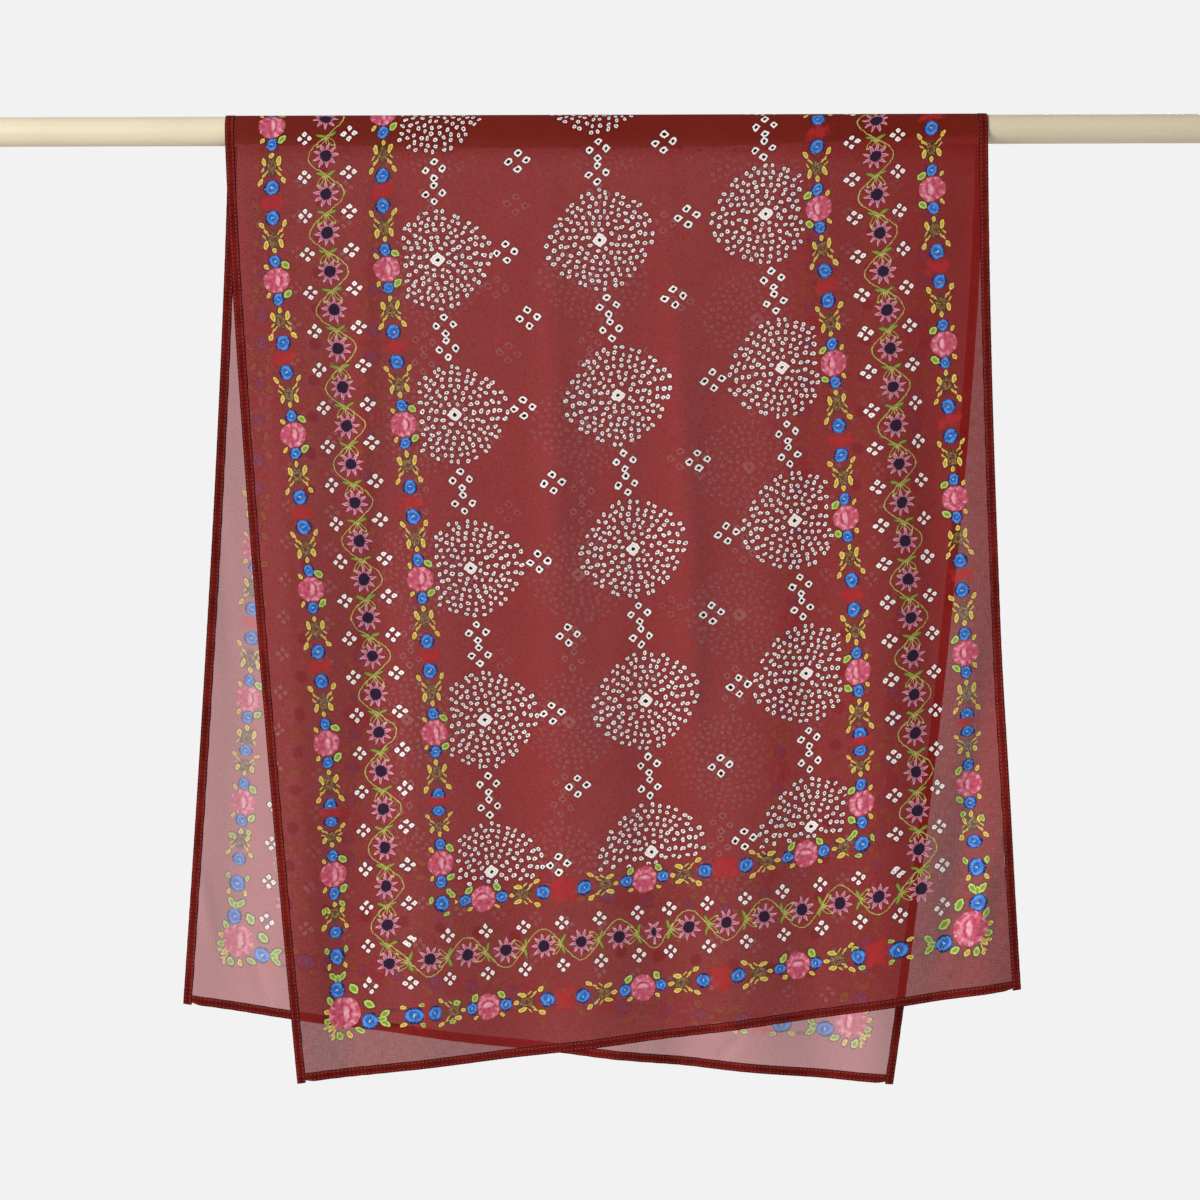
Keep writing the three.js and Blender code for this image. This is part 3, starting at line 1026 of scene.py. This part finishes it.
def corner_print(cloth):
    """The outer garland's corner: a large rose among leaves, with rosettes and a trefoil on each arm."""
    place = cloth.place
    inward = place.deep - OUTER_LINE
    s = place.along - OUTER_LINE
    s = cloth.choose(place.on_side, s * (CORNER_ARM_SIDE / CORNER_ARM_BOTTOM), s - ARM_SHIFT)
    s = s - (s - 45.5).most(0).least(6.6) * (1 - place.on_side)
    spot = cloth.point(inward, s)
    mirrored = cloth.point(abs(inward), s)

    blotch = cloth.lay_blotch(inward / 11.5, (s - 66.8) / 7, 0, 1 - place.on_side)
    green = cloth.nearest_leaf(
        (spot, 0, 37.5, 2.7, 4.8),
        (mirrored, 4.6, 40.5, 2.7, 5, -38),
        (spot, 15.5, 27, 3.6, 5.6, 35),
        (spot, -8.6, 17.5, 2.8, 4.6, 30),
        (spot, -12, -1, 4.2, 3, -15),
        (mirrored, 9.6, 65.8, 2, 3.5, -15),
    )
    gold = cloth.nearest_leaf(
        (spot, -12, 7.5, 3.6, 2.3, -20),
        (spot, -8, -8, 5.2, 2.2, 45),
        (spot, -13, -7, 3, 1.5, 15),
        (mirrored, 8.2, 50.4, 1.8, 3, 20),
    )
    leaves = cloth.lay_leaves(green, "green").most(cloth.lay_leaves(gold, "gold"))

    farther = s > 42
    rosette = cloth.lay_rosette((inward + 1 - farther) / 8, (s - farther * ARM_ROSETTES_APART - ARM_ROSETTES) / 8, 0.07)
    rose_x = (place.across - OUTER_LINE - 5) / CORNER_ROSE_WIDE
    rose_y = (place.up - OUTER_LINE - 9) / CORNER_ROSE_HIGH
    rose = cloth.lay_rose(rose_x, rose_y, 0.04)
    return leaves.most(rosette, rose, blotch * 0.5)


PRINTS = {
    "garland": garland_print,
    "corner": corner_print,
    "stars": star_print,
    "field": field_print,
}


# The finishes

DRAWN_IN_FROM = 494
DRAWN_IN_OVER = 260
BLACK = (0, 0, 0)
PALE_LINT = (1, 0.7, 0.7)
ROD_SHADE = (0.03, 0.02, 0.006)


@cache
def printed_cloth(side, region):
    """Sheer plain-weave voile with its region of the print, on one side of the cloth. It is denser where the
    front fall is drawn in at the right. Where it lies on the rod it is darkened and made denser, a painted shade
    of the rod in shadow behind it."""
    cloth = PrintedVoile(side, region)
    place = cloth.place
    threads = weave(cloth, place.cut)
    darker, paler = between(cloth.colour, BLACK, 0.2), between(cloth.colour, PALE_LINT, 0.02)
    cloudy = cloth.grain(0.02, 2)
    cloth.colour = cloth.mix((threads - 0.5) * 1.1 + cloudy * 0.4 + 0.3, darker, paler)
    drawn_in = (place.v < HALF_LENGTH) * place.p.stretched(1 / DRAWN_IN_OVER, -DRAWN_IN_FROM / DRAWN_IN_OVER)
    # Painted shade: the band where the cloth lies on the rod gets a darker colour and a denser cover, for the rod in
    # shadow behind it.
    from_rod_top = abs(place.v + place.p * ROD_LINE_SLOPE - ROD_LINE_MIDDLE)
    painted_rod_shade = from_rod_top.within(ROD_ARC / 2 + ROD_RADIUS / MM, 2)
    cloth.lay(painted_rod_shade * 0.3, ROD_SHADE)
    cover = (threads - 0.5) * 0.24 + drawn_in * 0.11 + painted_rod_shade * 0.1 + side.cover
    if region in PRINTS:
        cover = cloth.choose(PRINTS[region](cloth), cover, side.print_cover)
    cloth.shade(Base_Color=cloth.colour, Alpha=cover, Normal=cloth.relief(threads, 0.3))
    cloth.shade(Roughness=0.85, Sheen_Weight=0.02, Sheen_Roughness=0.5, Specular_IOR_Level=0.03)
    return cloth.material


HEM_STITCH_PITCH = 3.9


@cache
def hem_finish():
    """Four layers of the cloth, so nearly opaque and deep in colour, with shade painted along its edges and paler
    patches.
    """
    finish = Finish("voile_hem")
    cut = finish.plan()
    across = finish.part(cut, 0)
    stitch = (finish.part(cut, 1) / HEM_STITCH_PITCH).maths("WRAP", 1, 0)
    threads = weave(finish, cut)
    patches = finish.noise(finish.vectors("MULTIPLY", cut, (0.1, 0.035, 0)), 1, 2)
    from_edge = across.least(HEM_WIDTH - across)
    pricked = abs(from_edge - 1.8).within(0.5, 0.4) * abs(stitch - 0.5).within(0.2, 0.12)
    colour = finish.mix((patches - 0.35) * 2.2, linear((82, 13, 9)), linear((108, 24, 17)))
    colour = finish.mix((threads - 0.45) * 1.2, colour, linear((140, 40, 30)))
    # Painted shade along both edges of the hem, where its layers stand up from the cloth.
    colour = finish.mix(from_edge.within(0.7, 0.7) * 0.7, colour, linear((38, 4, 6)))
    colour = finish.mix(pricked * 0.3, colour, linear((196, 100, 94)))
    finish.shade(Base_Color=colour, Normal=finish.relief(threads, 0.5))
    finish.shade(Roughness=0.85, Sheen_Weight=0.02, Specular_IOR_Level=0.04)
    return finish.material


@cache
def thread_finish():
    """Twisted sewing thread, a little lighter than the hem."""
    finish = Finish("sewing_thread")
    place = finish.node("TexCoord", output=3)
    grain = finish.noise(place, 900, dimensions="3D")
    finish.shade(Base_Color=finish.mix(grain, linear((92, 26, 24)), linear((150, 66, 62))))
    finish.shade(Roughness=0.6, Sheen_Weight=0.2)
    return finish.material


def painted_wood():
    """Cream paint brushed along the wood, with the grain faint beneath it."""
    finish = Finish("painted_wood")
    place = finish.node("TexCoord", output=3)
    along = finish.vectors("MULTIPLY", place, (6, 160, 160))
    grain = finish.noise(along, 1, 3, "3D")
    cloudy = finish.noise(place, 9, 2, "3D")
    specks = finish.noise(place, 420, 1, "3D")
    colour = finish.mix(grain, linear((214, 200, 170)), linear((228, 215, 186)))
    colour = finish.mix((cloudy - 0.4) * 1.2, colour, linear((208, 193, 162)))
    colour = finish.mix(specks.within(0.3, 0.04) * 0.35, colour, linear((196, 176, 140)))
    relief = finish.relief(grain + specks * 0.15, 0.25, 0.3)
    finish.shade(Base_Color=colour, Roughness=0.42 + grain * 0.16, Normal=relief)
    finish.shade(Coat_Weight=0.08, Coat_Roughness=0.4)
    return finish.material


# Stitches

STITCH_PITCH = 3.1
STITCH_LENGTH = 1.9
STITCH_RADIUS = 0.2
STITCH_BARREL = 0.6  # the share of a stitch's length between its pointed ends
STITCH_IN = 7.7  # the seam's distance from the scarf's edge


def stitch_rows(name, seams):
    """Short threads lying along seams, on both sides of the hem. One is modelled and copied. Each seam gives its
    stitches' middles, the directions they run in and the directions out of the cloth."""
    middle, along, out = (np.concatenate(parts) for parts in zip(*seams))
    count = 2 * len(middle)
    barrel = {"vertices": 5, "radius": STITCH_RADIUS, "depth": STITCH_LENGTH * STITCH_BARREL}
    piece = added(name, bpy.ops.mesh.primitive_cylinder_add, **barrel, end_fill_type="TRIFAN")
    for vertex in piece.data.vertices:
        if math.hypot(vertex.co.x, vertex.co.y) < STITCH_RADIUS / 2:
            vertex.co.z /= STITCH_BARREL
    row = piece.modifiers.new("row", "ARRAY")
    row.count = count
    row.use_relative_offset = False
    apply_modifiers(piece)
    thread = np.empty(len(piece.data.vertices) * 3)
    piece.data.vertices.foreach_get("co", thread)
    thread = thread.reshape(count, -1, 3) * MM
    face = np.repeat([1, -1], len(middle))[:, None]
    middle, along, out = (np.tile(part, (2, 1)) for part in (middle, along, out))
    out = out * face
    middle = middle + out * HEM_THICKNESS / 2 * MM
    ways = np.stack([out, np.cross(out, along), along], 1)
    placed = middle[:, None] + thread @ ways
    piece.data.vertices.foreach_set("co", placed.astype(np.float32).ravel())
    piece.data.update()
    bpy.ops.object.shade_smooth()
    piece.data.materials.append(thread_finish())
    return piece


def seam_on(place, line, distances):
    """A seam's stitches, from a function that places the cloth and one that says where the seam runs on it."""
    middle = place(*line(distances))
    ahead = place(*line(distances + 0.5))
    above = place(*line(distances), CLOTH_LIFT + 1)
    ways = [way / np.linalg.norm(way, axis=1, keepdims=True) for way in (ahead - middle, above - middle)]
    return middle, *ways


def side_seams(edge, inward):
    """The seams of a side hem on its three stretches."""
    line = edge + inward * STITCH_IN

    def up(rise):
        return np.full_like(rise, line), rise

    def over(distance):
        return np.full_like(distance, line), distance / ROD_ARC

    lengths = [float(fall.length(line)) for fall in (FRONT, BACK)]
    return [
        seam_on(FRONT.place, up, np.arange(2, lengths[0] - 1, STITCH_PITCH)),
        seam_on(BACK.place, up, np.arange(2, lengths[1] - 1, STITCH_PITCH)),
        seam_on(rod_place, over, np.linspace(0.03, 0.97, 14) * ROD_ARC),
    ]


def end_seams(fall):
    places = np.arange(HEM_WIDTH + 1, CUT_WIDTH - HEM_WIDTH - 1, STITCH_PITCH)
    return [seam_on(fall.place, lambda across: (across, np.full_like(across, STITCH_IN)), places)]


# Rod

ROD_EDGE = 1.3
ROD_EDGE_ANGLE = 35


def rod_piece():
    """A turned rod with its ends' edges softened."""
    shape = {"vertices": 96, "radius": ROD_RADIUS, "depth": ROD_LENGTH, "rotation": (0, math.pi / 2, 0)}
    piece = added("rod_painted", bpy.ops.mesh.primitive_cylinder_add, **shape)
    bpy.ops.object.transform_apply(location=True, rotation=True, scale=True)
    bpy.ops.object.mode_set(mode="EDIT")
    bpy.ops.mesh.select_mode(type="FACE")
    bpy.ops.mesh.select_all(action="DESELECT")
    bpy.ops.object.mode_set(mode="OBJECT")
    for face in piece.data.polygons:
        face.select = abs(face.normal.x) > 0.9
    bpy.ops.object.mode_set(mode="EDIT")
    bpy.ops.mesh.bevel(offset=ROD_EDGE * MM, segments=4, affect="EDGES")
    bpy.ops.object.mode_set(mode="OBJECT")
    bpy.ops.object.shade_smooth_by_angle(angle=math.radians(ROD_EDGE_ANGLE))
    piece.data.materials.append(painted_wood())
    return piece


# The scarf and what holds it

SIDE_EDGES = (("left", 0, 1), ("right", CUT_WIDTH, -1))
ENDS = (("front", FRONT), ("back", BACK))

cloth_front = fall_sheet("voile_front", FRONT)
cloth_over_rod = over_rod_sheet("voile_over_rod")
cloth_back = fall_sheet("voile_back", BACK)
hems = {side: hem_strip(f"hem_{side}", *side_hem_places(*edge)) for side, *edge in SIDE_EDGES}
hems |= {end: hem_strip(f"hem_end_{end}", *end_hem_places(fall)) for end, fall in ENDS}
stitches = {side: stitch_rows(f"stitches_{side}", side_seams(*edge)) for side, *edge in SIDE_EDGES}
stitches |= {end: stitch_rows(f"stitches_{end}", end_seams(fall)) for end, fall in ENDS}
rod = rod_piece()

WORN = [
    (cloth_front, "printed_voile", ["cloth_front"]),
    (cloth_over_rod, "printed_voile", ["cloth_over_rod"]),
    (cloth_back, "printed_voile", ["cloth_back"]),
    (hems["left"], "hem_voile", ["hem_front_left", "hem_over_rod_left", "hem_back_left"]),
    (hems["right"], "hem_voile", ["hem_front_right", "hem_over_rod_right", "hem_back_right"]),
    (hems["front"], "hem_voile", ["hem_front_bottom"]),
    (hems["back"], "hem_voile", ["hem_back_bottom"]),
    *((seam, "hem_voile", []) for seam in stitches.values()),
    (rod, "painted_wood", ["rod"]),
]
for piece, slot, nodes in WORN:
    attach(piece, "root")
    if nodes:
        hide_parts(*nodes)

SEWN_TO_FRONT = [group[side] for group in (hems, stitches) for side in ("left", "right", "front")]
LAID = [
    (cloth_front, float(FRONT.length(HALF_WIDTH)), SEWN_TO_FRONT),
    (cloth_over_rod, ROD_ARC, []),
    (cloth_back, float(BACK.length(HALF_WIDTH)), [hems["back"], stitches["back"]]),
]
for cloth, length, sewn_to_it in LAID:
    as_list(sewn_to_it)


# Studio

SURROUND_LIGHT = 0.3
SURROUND_SEEN = 0.888  # it looks brighter than the light that it gives
FLOOR_HEIGHT = -1.35
KEY_PLACE = (-6.2, -4.4, 2.2)


def soft_lamp(name, place, aim, size, watts):
    data = bpy.data.lights.new(name, "AREA")
    data.shape = "RECTANGLE"
    data.size, data.size_y = size
    data.energy = watts
    lamp = bpy.data.objects.new(name, data)
    lamp.location = place
    lamp.rotation_euler = (Vector(aim) - Vector(place)).to_track_quat("-Z", "Y").to_euler()
    lamp.visible_camera = False
    bpy.context.scene.collection.objects.link(lamp)
    return lamp


def gathered(name, pieces):
    group = bpy.data.collections.new(name)
    for piece in pieces:
        group.objects.link(piece)
    return group


def studio():
    """A pale floor, a pale surround and soft lamps in front and behind. The sheer front fall lets its lamp's
    light through to the back one."""
    world = bpy.data.worlds.new("studio")
    bpy.context.scene.world = world
    world.use_nodes = True
    nodes, links = world.node_tree.nodes, world.node_tree.links
    seen = nodes.new("ShaderNodeLightPath")
    strength = nodes.new("ShaderNodeMapRange")
    strength.inputs["To Min"].default_value = SURROUND_LIGHT
    strength.inputs["To Max"].default_value = SURROUND_SEEN
    links.new(seen.outputs["Is Camera Ray"], strength.inputs["Value"])
    links.new(strength.outputs["Result"], nodes["Background"].inputs["Strength"])
    nodes["Background"].inputs["Color"].default_value = (1, 1, 1, 1)

    floor = added("floor", bpy.ops.mesh.primitive_plane_add, size=1, location=(0, -0.55, FLOOR_HEIGHT))
    floor.scale = (6, 3.9, 1)
    bpy.ops.object.transform_apply(location=False, rotation=False, scale=True)
    paint = Finish("floor_paint")
    cloudy = paint.node("TexNoise", {}, {"Scale": 3.0, "Detail": 2})
    paint.shade(Base_Color=paint.mix(cloudy, linear((236, 236, 236)), linear((242, 242, 242))))
    paint.shade(Roughness=0.9)
    floor.data.materials.append(paint.material)

    behind = [cloth_back, hems["back"], stitches["back"]]
    before = [cloth_front, hems["front"], stitches["front"]]
    between_them = [cloth_over_rod, rod] + [group[side] for group in (hems, stitches) for side in ("left", "right")]
    middle = (0, 0, -0.45)
    key, through = (soft_lamp(name, KEY_PLACE, middle, (3, 3), 720) for name in ("key", "key_through"))
    key.light_linking.receiver_collection = gathered("lit_first", before + between_them + [floor])
    through.light_linking.receiver_collection = gathered("lit_through", behind)
    through.light_linking.blocker_collection = gathered("not_sheer", behind + between_them)
    soft_lamp("rear", (1.2, 3.2, 0.7), middle, (1.8, 1.8), 80)

    camera_data = bpy.data.cameras.new("camera")
    camera_data.lens = 100
    camera_data.sensor_width = 36
    camera = bpy.data.objects.new("camera", camera_data)
    camera.location = (0, -3.206, -0.4517)
    camera.rotation_euler = (math.pi / 2, math.radians(0.17), 0)
    bpy.context.scene.collection.objects.link(camera)
    bpy.context.scene.camera = camera
    bpy.context.scene.view_settings.view_transform = "Standard"


studio()
